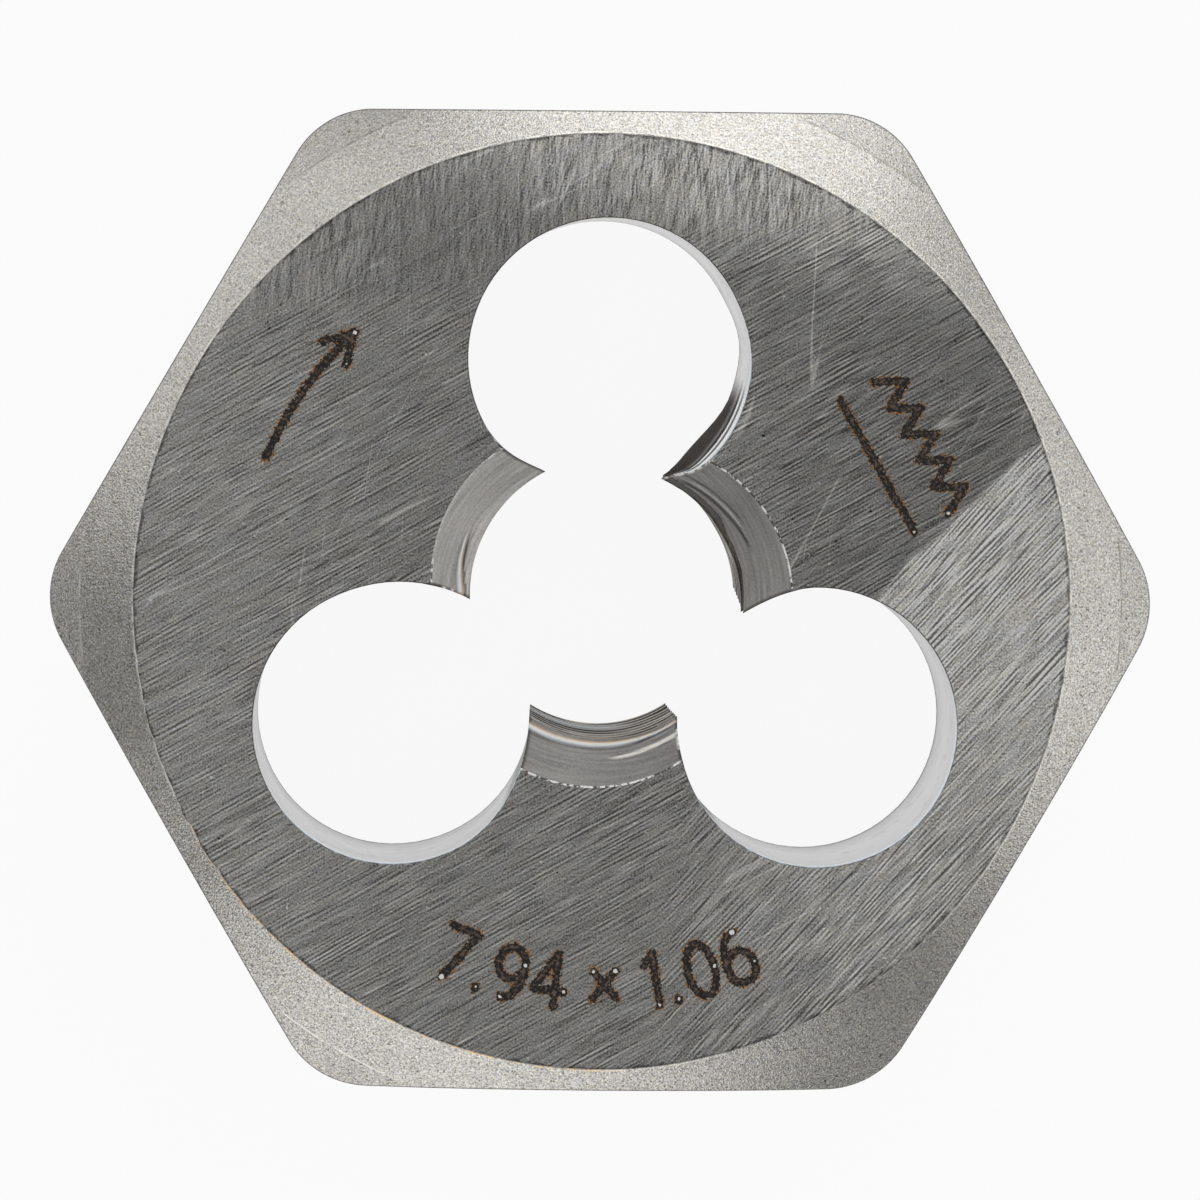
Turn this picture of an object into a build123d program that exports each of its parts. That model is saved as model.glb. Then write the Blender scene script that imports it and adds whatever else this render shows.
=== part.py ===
from build123d import *
from math import ceil, cos, pi, radians, sin, tan
import os

# Hexagonal threading die for 5/16-24 right-hand thread, one piece of hardened tool steel.
# Millimetres. The origin is the middle of the back face and +Z runs along the thread
# towards the starting face. Two corners of the hexagon lie on X and two flats face Y.

# Hexagonal body
flat_count = 6
across_flats = 25.4
thickness = 9.525
corner_radius = 2.3

# Each face is a flat disc set back from the flats. A cone falls away from it as far as the
# turning line, and a steeper cone goes on from there at the corners. Blasting has left both
# cones very slightly crowned.
face_setback = 0.57
face_cone_width = 1.39
face_cone_deg = 30.0
corner_cone_deg = 38.0
cone_crown = 0.012

# Right-hand thread with flat crests and roots
thread_major_diameter = 7.9375
thread_depth = 0.41875
thread_angle_deg = 60.0
threads_per_inch = 24
root_flat_share_of_pitch = 1 / 8
thread_phase_deg = 208.0

# Round clearance holes let the chips out. They reach into the bore, and leave as many
# cutting lands between them.
land_count = 3
first_hole_deg = 90.0
clearance_hole_diameter = 7.25
hole_reach_into_bore = 0.835

# Lead on the starting face: each land has its own cone, wider than the thread and off
# centre, so that the land clears behind its cutting edge
lead_margin = 0.081
lead_offset = 0.77
lead_turn_deg = -22.6
lead_half_angle_deg = 45.0

# Countersink on the back face, wider than the thread and on centre
back_margin = 0.33
back_half_angle_deg = 45.0

# How far a cutter runs past what it cuts
cutter_overrun = 1.0
groove_overrun = 0.2

# What follows from them
inch = 25.4
pitch = inch / threads_per_inch
sharp_corner_radius = across_flats / 2 / cos(pi / flat_count)
face_radius = across_flats / 2 - face_setback
turning_line_radius = face_radius + face_cone_width
major_radius = thread_major_diameter / 2
crest_radius = major_radius - thread_depth
hole_radius = clearance_hole_diameter / 2
hole_circle_radius = crest_radius + hole_radius - hole_reach_into_bore
land_step_deg = 360 / land_count


def turned_blank():
    """The round blank whose coned ends bound the hexagon."""
    outer_radius = max(sharp_corner_radius, turning_line_radius) + cutter_overrun
    line_depth = face_cone_width * tan(radians(face_cone_deg))
    corner_width = outer_radius - turning_line_radius
    outer_depth = line_depth + corner_width * tan(radians(corner_cone_deg))
    back_points = [
        (face_radius, 0),
        (turning_line_radius, line_depth),
        (outer_radius, outer_depth),
    ]
    start_points = [(radius, thickness - depth) for radius, depth in reversed(back_points)]
    back_cones = [SagittaArc(*ends, -cone_crown) for ends in zip(back_points, back_points[1:])]
    start_cones = [SagittaArc(*ends, -cone_crown) for ends in zip(start_points, start_points[1:])]
    side = Line(back_points[-1], start_points[0])
    axis_side = Polyline(start_points[-1], (0, thickness), (0, 0), back_points[0])
    outline = Curve(children=[*back_cones, side, *start_cones, axis_side])
    return revolve(Plane.XZ * make_face(outline.edges()), Axis.Z)


def hexagonal_body():
    """The hexagon with rounded corners, coned at both faces."""
    hexagon = RegularPolygon(across_flats / 2, flat_count, major_radius=False)
    rounded = fillet(hexagon.vertices(), corner_radius)
    return extrude(rounded, thickness) & turned_blank()


def through_cylinder(radius):
    """A cutter that runs past both faces."""
    return Pos(0, 0, thickness / 2) * Cylinder(radius, thickness + 2 * cutter_overrun)


def clearance_holes():
    """The round holes that open into the threaded bore."""
    places = PolarLocations(hole_circle_radius, land_count, start_angle=first_hole_deg)
    return [place * through_cylinder(hole_radius) for place in places]


def face_cone(radius, half_angle_deg):
    """A cutter of the given radius at z = 0 that narrows downwards to a point."""
    slope = tan(radians(half_angle_deg))
    point_depth = radius / slope
    height = point_depth + cutter_overrun
    cone = Cone(0, height * slope, height, align=(Align.CENTER, Align.CENTER, Align.MIN))
    return Pos(0, 0, -point_depth) * cone


def lead_chamfers():
    """One off-centre cone for each land, at the starting face."""
    cone = face_cone(major_radius + lead_margin, lead_half_angle_deg)
    cones = []
    for index in range(land_count):
        middle_deg = first_hole_deg + (index + 0.5) * land_step_deg
        direction = radians(middle_deg + lead_turn_deg)
        shift = Pos(lead_offset * cos(direction), lead_offset * sin(direction), thickness)
        cones.append(shift * cone)
    return cones


def back_countersink():
    """The countersink on the back face."""
    return Rot(180, 0, 0) * face_cone(major_radius + back_margin, back_half_angle_deg)


def groove_stretch():
    """The helical groove of one land in one turn, starting on X at z = 0."""
    flank = tan(radians(thread_angle_deg / 2))
    groove_depth = thread_depth + groove_overrun
    root_half_width = root_flat_share_of_pitch * pitch / 2
    mouth_half_width = root_half_width + groove_depth * flank
    helix = Helix(pitch, pitch / land_count, major_radius)
    section = Plane(origin=helix @ 0, x_dir=(1, 0, 0), z_dir=helix % 0)
    outline = Polyline(
        (0, -root_half_width),
        (0, root_half_width),
        (-groove_depth, mouth_half_width),
        (-groove_depth, -mouth_half_width),
        close=True,
    )
    return sweep(section * make_face(outline), path=helix, is_frenet=True)


def thread_grooves():
    """The thread: on every turn, one stretch across each land, from hole to hole."""
    stretch = groove_stretch()
    turn_count = ceil(thickness / pitch)
    grooves = []
    for index in range(land_count):
        start_deg = first_hole_deg + index * land_step_deg
        for turn in range(-2, turn_count + 1):
            height = pitch * (turn + (start_deg + thread_phase_deg) / 360)
            grooves.append(Pos(0, 0, height) * Rot(0, 0, start_deg) * stretch)
    return grooves


def hex_die():
    """The whole die."""
    die = hexagonal_body() - through_cylinder(crest_radius)
    die -= clearance_holes()
    die -= lead_chamfers()
    die -= back_countersink()
    return die - thread_grooves()


os.makedirs("parts", exist_ok=True)
export_step(hex_die(), "parts/hex_die.step")
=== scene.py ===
from functools import reduce
from math import cos, degrees, pi, radians, sin, tan

import bpy
import numpy as np
from mathutils import Euler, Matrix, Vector, noise
from mathutils.geometry import delaunay_2d_cdt


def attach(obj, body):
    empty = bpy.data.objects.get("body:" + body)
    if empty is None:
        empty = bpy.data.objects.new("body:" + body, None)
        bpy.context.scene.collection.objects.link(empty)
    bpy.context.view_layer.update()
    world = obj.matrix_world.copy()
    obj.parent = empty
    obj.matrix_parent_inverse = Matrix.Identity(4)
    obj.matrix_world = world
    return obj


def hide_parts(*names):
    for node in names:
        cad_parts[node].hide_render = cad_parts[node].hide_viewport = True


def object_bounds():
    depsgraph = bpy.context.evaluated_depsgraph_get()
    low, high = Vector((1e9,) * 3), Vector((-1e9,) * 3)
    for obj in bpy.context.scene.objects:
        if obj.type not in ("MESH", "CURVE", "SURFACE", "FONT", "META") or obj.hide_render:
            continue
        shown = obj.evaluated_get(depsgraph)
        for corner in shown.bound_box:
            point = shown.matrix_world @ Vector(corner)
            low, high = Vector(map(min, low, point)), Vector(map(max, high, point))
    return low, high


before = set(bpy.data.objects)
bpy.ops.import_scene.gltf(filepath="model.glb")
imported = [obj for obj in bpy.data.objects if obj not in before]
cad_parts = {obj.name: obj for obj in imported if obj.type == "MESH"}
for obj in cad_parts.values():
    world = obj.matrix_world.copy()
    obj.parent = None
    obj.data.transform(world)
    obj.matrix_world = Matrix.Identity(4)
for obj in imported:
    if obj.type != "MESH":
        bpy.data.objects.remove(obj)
cad_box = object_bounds()

# Lengths below are millimetres and become metres when a mesh is made. Angles are degrees.
MM = 0.001
INCH = 25.4

# The hexagonal body, whose overall size comes from the frame
low_corner, high_corner = cad_box
THICKNESS = round((high_corner.z - low_corner.z) / MM, 3)
ACROSS_FLATS = round((high_corner.y - low_corner.y) / MM, 3)
CORNER_RADIUS = 2.3
FACE_SETBACK = 0.57
FACE_CONE_WIDTH = 1.39
FACE_RADIUS = ACROSS_FLATS / 2 - FACE_SETBACK
TURNING_RADIUS = FACE_RADIUS + FACE_CONE_WIDTH
FACE_CONE = 30.0
CORNER_CONE = 38.0
CONE_CROWN = 0.012

# The thread and the clearance holes that reach into it
MAJOR_DIAMETER = 7.9375
MAJOR_RADIUS = MAJOR_DIAMETER / 2
THREAD_DEPTH = 0.41875
CREST_RADIUS = MAJOR_RADIUS - THREAD_DEPTH
PITCH = INCH / 24
ROOT_HALF = PITCH / 16
FLANK = tan(radians(30))
THREAD_PHASE = 208.0
HOLE_RADIUS = 7.25 / 2
HOLE_REACH = 0.835
HOLE_CIRCLE = CREST_RADIUS + HOLE_RADIUS - HOLE_REACH

# Each land has its lead cone, off centre, and the back face has a countersink on centre
LEAD_MARGIN = 0.081
LEAD_RADIUS = MAJOR_RADIUS + LEAD_MARGIN
LEAD_OFFSET = 0.77
LEAD_TURN = -22.6
BACK_MARGIN = 0.33
BACK_RADIUS = MAJOR_RADIUS + BACK_MARGIN

# Directions of the lands' middles, how far on the next hole's middle is, and a land's half width
RIGHT, LEFT, LOWER = LANDS = (30.0, 150.0, 270.0)
TO_HOLE = 60.0
LAND_HALF = 33.0

# The photographed bore and its holes stand a little off the hexagon's axis, and the holes lean
BORE_SHIFT = (0.117, -0.025)
HOLE_LEAN = -0.12

# How far each land's crests stand back: everywhere, more towards its clockwise end, in its
# middle, and towards that end below the starting face
LAND_CREST = {
    RIGHT: (-0.05, 0.0, 0.0, 0.09),
    LEFT: (0.055, 0.10, 0.0, 0.0),
    LOWER: (0.0, 0.035, 0.04, 0.0),
}

# The real walls leave the round hole a little where they run into a land. Each bump says how far
# the wall stands back at most, at which distance in degrees from the hole's inner side, and how
# far the bump reaches. The first list is for the starting face, the second for the back face.
INNER_SIDE = 155
LAND_ENDS = {
    (RIGHT, 1): ([(-0.22, 0, 14), (0.085, 27, 30), (0.075, 58, 34)],
                 [(-0.21, 22, 28), (0.10, 70, 22)]),
    (RIGHT, -1): ([(-0.22, 0, 34)], [(0.32, 0, 60)]),
    (LEFT, 1): ([(0.13, 0, 60)], [(0.20, 0, 75)]),
    (LEFT, -1): ([(-0.31, 0, 31)], [(-0.05, 0, 40)]),
    (LOWER, 1): ([(-0.04, 20, 60)], [(0.09, 0, 50)]),
    (LOWER, -1): ([(-0.13, 20, 50)], [(0.06, 0, 95)]),
}

# How far down the lead cones reach, and how far down the photo shows the thread
CONE_DEPTH = 1.35
SEEN_DEPTH = 2.2

# Edge breaks that the solids leave sharp, and the stretches where a face's edge is ragged
RIM_BREAK = 0.028
FACE_EDGE_BREAK = 0.022
SIDE_EDGE_BREAK = 0.035
FACE_RAGGED = (185, 226)
BACK_RAGGED = (60, 90)

# Steps of the mesh across a land, a hole's wall, a corner and a flat, and down the side
LAND_STEPS = 40
WALL_STEPS = 56
CORNER_STEPS = 24
FLAT_STEPS = 60
SIDE_STEPS = 7

# Material slots
FACE, CONE, WALL, LAND, SIDE, BACK = range(6)

# What the bore's mesh carries at each point. On a land: cone or thread, depth in the groove (for
# painted shade deeper in the groove), painted highlight line, rim (for a painted dashed highlight),
# painted shade line, how light the cone is (painted light), and the highlight line's warmth. On a
# hole's
# wall: nothing, painted black lines of shade, painted highlights on the burrs, painted highlight
# along the top, dark brown cutting face with painted shade at the top, the bottom and where the
# wall leaves the land, a dark grey stretch where the wall runs into the next land, and nothing.
BORE_FINISH = ("cone", "groove", "bright", "rim", "rake", "painted_level", "warm")


def polar(radius, angle_deg):
    """X and Y of a point at a distance and direction from the axis."""
    return radius * cos(radians(angle_deg)), radius * sin(radians(angle_deg))


def blend(a, b, t):
    """From a at t = 0 to b at t = 1."""
    return a + (b - a) * t


def curve3(a, c, b, t):
    """A point on the rounded corner from a to b around c."""
    return (1 - t) ** 2 * a + 2 * t * (1 - t) * c + t ** 2 * b


def band(value, low, high, soft_edge):
    """1 between two values, falling to 0 outside them."""
    return np.clip(np.minimum(value - low, high - value) / soft_edge + 1, 0, 1)


def fade(distance, reach):
    """1 at no distance, falling smoothly to 0 at the reach."""
    t = np.clip(1 - distance / reach, 0, 1)
    return t * t * (3 - 2 * t)


def strongest(*layers):
    """The highest of several values at each point."""
    return reduce(np.maximum, layers)


# The bore: lands and clearance holes

def land_parts(mid, angle, z, grow):
    """Radius of a land's thread and of its two cones at an angle and height. grow widens the
    cones."""
    turn = (angle + THREAD_PHASE) / 360
    off = z / PITCH - turn
    off = np.abs(off - np.round(off)) * PITCH
    groove = MAJOR_RADIUS - np.maximum(off - ROOT_HALF, 0) / FLANK
    across = (angle - mid) / LAND_HALF
    back, taper, sag, lower_taper = LAND_CREST[mid]
    crest = CREST_RADIUS + back - taper * across + sag * np.clip(1 - across ** 2, 0, 1)
    below = np.clip((THICKNESS - z) / 3, 0, 1)
    crest = crest + lower_taper * below * np.clip(-across, 0, 1)
    cone = LEAD_RADIUS + grow - (THICKNESS - z)
    swing = np.radians(angle - mid - LEAD_TURN)
    inside = cone ** 2 - (LEAD_OFFSET * np.sin(swing)) ** 2
    reach = LEAD_OFFSET * np.cos(swing) + np.sqrt(np.maximum(inside, 0))
    lead = np.where((cone > 0) & (inside > 0), reach, 0)
    return np.maximum(groove, crest), np.maximum(lead, BACK_RADIUS + grow - z)


def land_radius(mid, angle, z, grow):
    """Radius of a land's surface, which is the wider of its thread and its cones."""
    return np.maximum(*land_parts(mid, angle, z, grow))


def lower_land(out, turn):
    """Painted highlight lines, painted shade lines, painted lightness of the cone and warmth of the
    lower land. out is the distance from the crests' circle and turn the angle from the land's
    middle."""
    middle = np.interp(turn, (-30, -20, 0, 22, 35), (0.22, 0.20, 0.16, 0.08, 0.05))
    half = np.interp(turn, (-30, 0, 12, 22, 35), (0.070, 0.058, 0.045, 0.02, 0.012))
    edge = middle + half
    run = out - 0.50 + 0.0067 * (turn - 4)
    main = band(out, middle - half, edge, 0.015)
    second = band(run, -0.02 - 0.001 * turn, 0.02, 0.025) * band(turn, 6, 60, 5)
    dark = strongest(
        0.35 * band(run, -0.14, -0.08, 0.03) * band(turn, 9, 60, 6),
        0.5 * band(out, edge + 0.06, edge + 0.08, 0.02) * band(turn, -30, 8, 10),
        0.8 * band(out, edge + 0.03, edge + 0.06, 0.02) * band(turn, 14, 60, 6))
    warm = np.where(second > 0, 0.55, 0.5 + (middle - out) / (2 * half + 0.04))
    return strongest(main, second), dark, 0.08, warm


def left_land(out, turn):
    """The same for the left land."""
    middle = np.interp(turn, (0, 14, 24, 34), (0.48, 0.38, 0.25, 0.12))
    half = np.interp(turn, (0, 14, 24), (0.008, 0.042, 0.07))
    inner, outer = middle - half, middle + half
    bright = strongest(band(out, inner, outer, 0.012) * band(turn, 5, 60, 5),
                       0.2 * band(out, 0.04, 0.07, 0.02) * band(turn, -60, 4, 6))
    dark = strongest(
        0.8 * band(out, inner - 0.07, inner - 0.03, 0.02) * band(turn, 8, 60, 7),
        0.3 * band(out, outer + 0.03, outer + 0.05, 0.02) * band(turn, 8, 60, 7),
        0.9 * band(out, -1, 0.015 - 0.0015 * turn, 0.015))
    lift = np.interp(turn, (-2, 12), (1.0, 0.67))
    return bright, dark, lift, 0.5 + (middle - out) / (2 * half + 0.04)


def right_land(out, turn):
    """The same for the right land."""
    run = out - 0.31 + 0.008 * (turn - 10)
    edge = np.interp(turn, (-6, 7, 25), (-0.03, 0.13, 0.08))
    bright = 0.45 * band(run, 0.07, 0.09, 0.02) * band(turn, 4, 22, 6)
    dark = strongest(
        0.75 * band(run, -0.03, 0.02, 0.025) * band(turn, -6, 26, 6),
        0.65 * band(run, 0.16, 0.19, 0.02) * band(turn, 4, 30, 5),
        0.55 * band(out, -1, edge, 0.02),
        0.9 * band(out, -1, -0.03, 0.02),
        0.8 * band(out, edge, edge + 0.02, 0.015))
    lift = np.interp(turn, (-25, -14, 7, 25), (0.6, 0.55, 0.12, 0.08))
    return bright, dark, lift, 0.5


def land_finish(mid, angle, z, first):
    """How a land looks at each point, as BORE_FINISH lists it. first is the land's start."""
    thread, cones = land_parts(mid, angle, z, 0.0)
    deep = np.clip((thread - CREST_RADIUS) / THREAD_DEPTH, 0, 1)
    cone = strongest(np.clip(0.5 + (cones - thread) / 0.02, 0, 1),
                     band(z, THICKNESS - CONE_DEPTH, THICKNESS, 0.1))
    turn = angle - mid
    lines = {RIGHT: right_land, LEFT: left_land, LOWER: lower_land}[mid]
    bright, dark, lift, warm = lines(np.maximum(thread, cones) - CREST_RADIUS, turn)
    seen = z > THICKNESS - SEEN_DEPTH
    if mid == LOWER:
        # further down, a painted highlight on one stretch of thread and painted shade on another,
        # near the land's start
        near_start = band(turn, -60, 2, 14)
        bright = np.where(seen, bright, 0.8 * band(z, 2.2, 3.2, 0.3) * near_start)
        dark = np.where(seen, dark, band(z, 3.9, 5.2, 0.3) * near_start)
        warm = np.where(seen, warm, 0.25)
    else:
        bright, dark = bright * seen, dark * seen
    rim = band(z, THICKNESS - 0.8 * RIM_BREAK, THICKNESS + 1, 0.15 * RIM_BREAK)
    if mid == LEFT:
        rim = rim * np.interp(turn, (-25, -12, 12, 20), (0.6, 0.1, 0.1, 0.8))
    # the third slot holds the painted highlight lines, the fifth painted shade: the dark lines and
    # a dark line along the land's start; the sixth holds lift, the cone's painted lightness
    finish = (cone, deep, bright, rim, strongest(dark, 0.9 * first), lift, np.clip(warm, 0, 1))
    return np.stack(np.broadcast_arrays(*finish), 1)


def wall_finish(mid, turn, z, first):
    """How the wall of the hole after a land looks, as BORE_FINISH lists it. first is where the
    wall leaves the land."""
    depth = 1 - z / THICKNESS
    around = (mid + TO_HOLE + turn) % 360
    rim = band(z, THICKNESS - 0.3 * RIM_BREAK, THICKNESS + 1, 0.15 * RIM_BREAK)

    # the cutting face, whose lines lie at shares q of a depth that is less where it is narrow; its
    # bright lines are painted highlights on the burrs and its black lines painted shade
    near = band(turn, -220, -110, 9)
    narrow = np.clip((-110 - turn) / 36, 0, 1)
    q = depth / (0.47 - 0.24 * narrow)
    lines = np.interp(q, (0.36, 0.40, 0.60, 0.64, 0.80, 0.84, 1.04, 1.10, 1.30, 1.45),
                      (0.0, 0.7, 0.7, 0.0, 0.0, 1.0, 1.0, 0.62, 0.66, 0.96))
    # dark brown on the cutting face, with painted shade near the bottom edge and along the top edge
    rake = strongest(near * lines,
                     0.35 * np.clip((depth - 0.93) / 0.04, 0, 1),
                     rim * np.maximum(0.8, band(around, 35, 197, 6)))
    # painted shade: black lines on the cutting face and a dark line along the top edge
    black = strongest(0.75 * near * band(q, 0.86, 1.02, 0.04),
                      0.3 * near * band(q, 0.46, 0.52, 0.04),
                      0.5 * rim)
    # painted highlights along the burrs
    burr_highlight = near * np.maximum(band(q, 0.12, 0.34, 0.03), band(q, 0.66, 0.78, 0.03))
    # where the wall leaves the land: a painted highlight near the top after the right land, a dark
    # line of painted shade after the others
    if mid == RIGHT:
        burr_highlight = strongest(burr_highlight, first * np.clip((0.11 - depth) / 0.02, 0, 1))
    else:
        rake = strongest(rake, 0.9 * first)

    # a painted highlight just below the top edge, except between about 20 and 205 degrees round
    light = band(depth, 0.004, 0.055, 0.02) * (1 - band(around, 20, 205, 8))
    painted_level = np.clip((turn - 115 - 8 * depth) / 2 + 0.5, 0, 1)
    finish = (0.0, black, burr_highlight, np.maximum(burr_highlight, light), rake, painted_level, 0.5)
    return np.stack(np.broadcast_arrays(*finish), 1)


def meet_angle(radius, hole_radius):
    """Half angle that a clearance hole spans at a distance from the axis."""
    c = (HOLE_CIRCLE ** 2 + radius ** 2 - hole_radius ** 2) / (2 * HOLE_CIRCLE * radius)
    return np.degrees(np.arccos(np.clip(c, -1, 1)))


def hole_turn(hole, angle, r):
    """Where a point of the bore lies round a hole, measured from the direction that leads away
    from the axis."""
    cx, cy = polar(HOLE_CIRCLE, hole)
    a = np.radians(angle)
    direction = np.degrees(np.arctan2(r * np.sin(a) - cy, r * np.cos(a) - cx))
    return (direction - hole + 180) % 360 - 180


def end_offset(mid, side, turn, z):
    """How far a hole's wall stands back near one end of a land."""
    depth = np.clip(1 - z / THICKNESS, 0, 1)
    away = INNER_SIDE + side * turn
    total = 0 * z
    for bumps, share in zip(LAND_ENDS[mid, side], (1 - depth, depth)):
        for amount, middle, reach in bumps:
            total = total + amount * share * fade(np.abs(away - middle), reach)
    return total


def lean(direction, z):
    """How far a leaning hole's wall stands back on one side of it."""
    return HOLE_LEAN * (1 - z / THICKNESS) * np.sin(np.radians(direction))


def land_end(mid, side, height, slope, grow):
    """Where a land's surface meets the hole on one side of it: angle, radius and height. The
    radius is found by halving the stretch that holds it."""
    nearest = np.full_like(height, 3.2)
    farthest = np.full_like(height, 5.2)
    hole = mid + side * TO_HOLE
    for _ in range(42):
        r = (nearest + farthest) / 2
        angle = mid + side * (TO_HOLE - meet_angle(r, HOLE_RADIUS + grow))
        for _ in range(2):
            turn = hole_turn(hole, angle, r)
            wall = HOLE_RADIUS + grow + lean(hole + turn, height)
            wall = wall + end_offset(mid, side, turn, height)
            angle = mid + side * (TO_HOLE - meet_angle(r, wall))
        z = height + slope * PITCH * (angle - mid) / 360
        beyond = land_radius(mid, angle, z, grow) > r
        nearest = np.where(beyond, r, nearest)
        farthest = np.where(beyond, farthest, r)
    return angle, r, z


def bore_rows():
    """Rows of the bore's mesh: a height for each land, a share of the helix's slope and an edge
    break. Rows lie flat below back_flat and above top_flat, and follow the thread from
    thread_from to thread_to."""
    back_flat, thread_from = 0.9, 2.6
    thread_to, top_flat = THICKNESS - 3.2, THICKNESS - 1.45
    back_spacing, back_turning_rows, top_turning_rows, top_flat_rows = 0.055, 20, 46, 48
    first_turn = PITCH * (LANDS[0] + THREAD_PHASE) / 360
    shift = np.array([0, PITCH / 3, -PITCH / 3])
    mouth = ROOT_HALF + THREAD_DEPTH * FLANK
    halfway = (mouth + ROOT_HALF) / 2
    steps = (-mouth, -halfway, -ROOT_HALF, ROOT_HALF, halfway, mouth, PITCH / 2)
    helical = [first_turn + n * PITCH + s for n in range(-12, 12) for s in steps]
    helical = [z for z in helical if thread_from < z < thread_to]
    rows = []

    def add(z, slope=0.0, grow=0.0):
        rows.append((np.asarray(z, float) + np.zeros(3), slope, grow))

    rim = [(RIM_BREAK * (1 - sin(a)), RIM_BREAK * (1 - cos(a))) for a in (pi / 2, pi / 3, pi / 6)]
    for depth, wider in rim:
        add(depth, grow=wider)
    for z in np.arange(RIM_BREAK, back_flat, back_spacing):
        add(z)
    for t in np.linspace(0, 1, back_turning_rows)[:-1]:
        add((1 - t) * back_flat + t * (helical[0] + shift), t)
    for z in helical:
        add(z + shift, 1.0)
    for t in np.linspace(0, 1, top_turning_rows)[1:]:
        add((1 - t) * (helical[-1] + shift) + t * top_flat, 1 - t)
    for z in np.linspace(top_flat, THICKNESS - RIM_BREAK, top_flat_rows)[1:]:
        add(z)
    for depth, wider in reversed(rim):
        add(THICKNESS - depth, grow=wider)
    return rows


def land_columns(k, start, stop, heights, slopes, grow):
    """Points and finish of a land's columns, from where it leaves one hole towards the next."""
    mid = LANDS[k]
    for i in range(LAND_STEPS):
        angle = blend(start[0], stop[0], i / LAND_STEPS)
        z = heights[:, k] + slopes * PITCH * (angle - mid) / 360
        r = land_radius(mid, angle, z, grow) if i else start[1]
        a = np.radians(angle)
        yield np.stack([r * np.cos(a), r * np.sin(a), z], 1), land_finish(mid, angle, z, i == 0)


def wall_columns(k, start, stop, grow):
    """Points and finish of the columns of the hole after a land, on to the next land."""
    mid, next_mid = LANDS[k], LANDS[(k + 1) % 3]
    hole = mid + TO_HOLE
    cx, cy = polar(HOLE_CIRCLE, hole)
    turns = [hole_turn(hole, angle, r) for angle, r, _ in (start, stop)]
    for i in range(WALL_STEPS):
        turn = blend(*turns, i / WALL_STEPS)
        z = blend(start[2], stop[2], i / WALL_STEPS)
        r = HOLE_RADIUS + grow + lean(hole + turn, z)
        r = r + end_offset(mid, 1, turn, z) + end_offset(next_mid, -1, turn, z)
        a = np.radians(hole + turn)
        points = np.stack([cx + r * np.cos(a), cy + r * np.sin(a), z], 1)
        yield points, wall_finish(mid, turn, z, i == 0)


def bore_grid():
    """Points of the bore's wall, row by row, the slot of each column, and every point's finish."""
    heights, slopes, grow = [np.array(part) for part in zip(*bore_rows())]
    ends = [[land_end(mid, side, heights[:, k], slopes, grow) for side in (-1, 1)]
            for k, mid in enumerate(LANDS)]
    columns, slots = [], []
    for k, (start, stop) in enumerate(ends):
        next_start = ends[(k + 1) % 3][0]
        columns += land_columns(k, start, stop, heights, slopes, grow)
        columns += wall_columns(k, stop, next_start, grow)
        slots += [LAND] * LAND_STEPS + [WALL] * WALL_STEPS
    points, finish = [np.stack(part, 1) for part in zip(*columns)]
    points[:, :, :2] += BORE_SHIFT
    return points, slots, finish


# The outside

def outline():
    """Points and outward directions round the hexagon, with its rounded corners."""
    centre = (ACROSS_FLATS / 2 - CORNER_RADIUS) / cos(radians(30))
    points, outward = [], []
    for corner in range(6):
        cx, cy = polar(centre, corner * 60)
        for i in range(CORNER_STEPS):
            nx, ny = polar(1, corner * 60 - 30 + 60 * i / CORNER_STEPS)
            points.append((cx + CORNER_RADIUS * nx, cy + CORNER_RADIUS * ny))
            outward.append((nx, ny))
        next_x, next_y = polar(centre, corner * 60 + 60)
        nx, ny = polar(1, corner * 60 + 30)
        for i in range(FLAT_STEPS):
            x, y = blend(cx, next_x, i / FLAT_STEPS), blend(cy, next_y, i / FLAT_STEPS)
            points.append((x + CORNER_RADIUS * nx, y + CORNER_RADIUS * ny))
            outward.append((nx, ny))
    return np.array(points), np.array(outward)


def cone_drop(r):
    """How far the cones have fallen below the face at a radius."""
    t = np.clip((r - FACE_RADIUS) / FACE_CONE_WIDTH, 0, 1)
    crown = 4 * CONE_CROWN * t * (1 - t)
    first = t * FACE_CONE_WIDTH * tan(radians(FACE_CONE)) - crown
    return first + np.maximum(r - TURNING_RADIUS, 0) * tan(radians(CORNER_CONE))


def ragged(angle_deg, seed, start, stop):
    """Small wander of the face's edge, larger where grinding has left a ragged stretch."""
    x, y = polar(1, angle_deg)
    fine = noise.noise(Vector((x * 42, y * 42, seed)))
    fine += 0.6 * noise.noise(Vector((x * 95, y * 95, seed + 9)))
    slow = noise.noise(Vector((x * 6, y * 6, seed + 3)))
    a = angle_deg % 360
    rough = max(0.0, min(1.0, (a - start) / 5, (stop - a) / 8))
    return 0.006 * fine + 0.01 * slow + rough * 0.05 * fine


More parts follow.
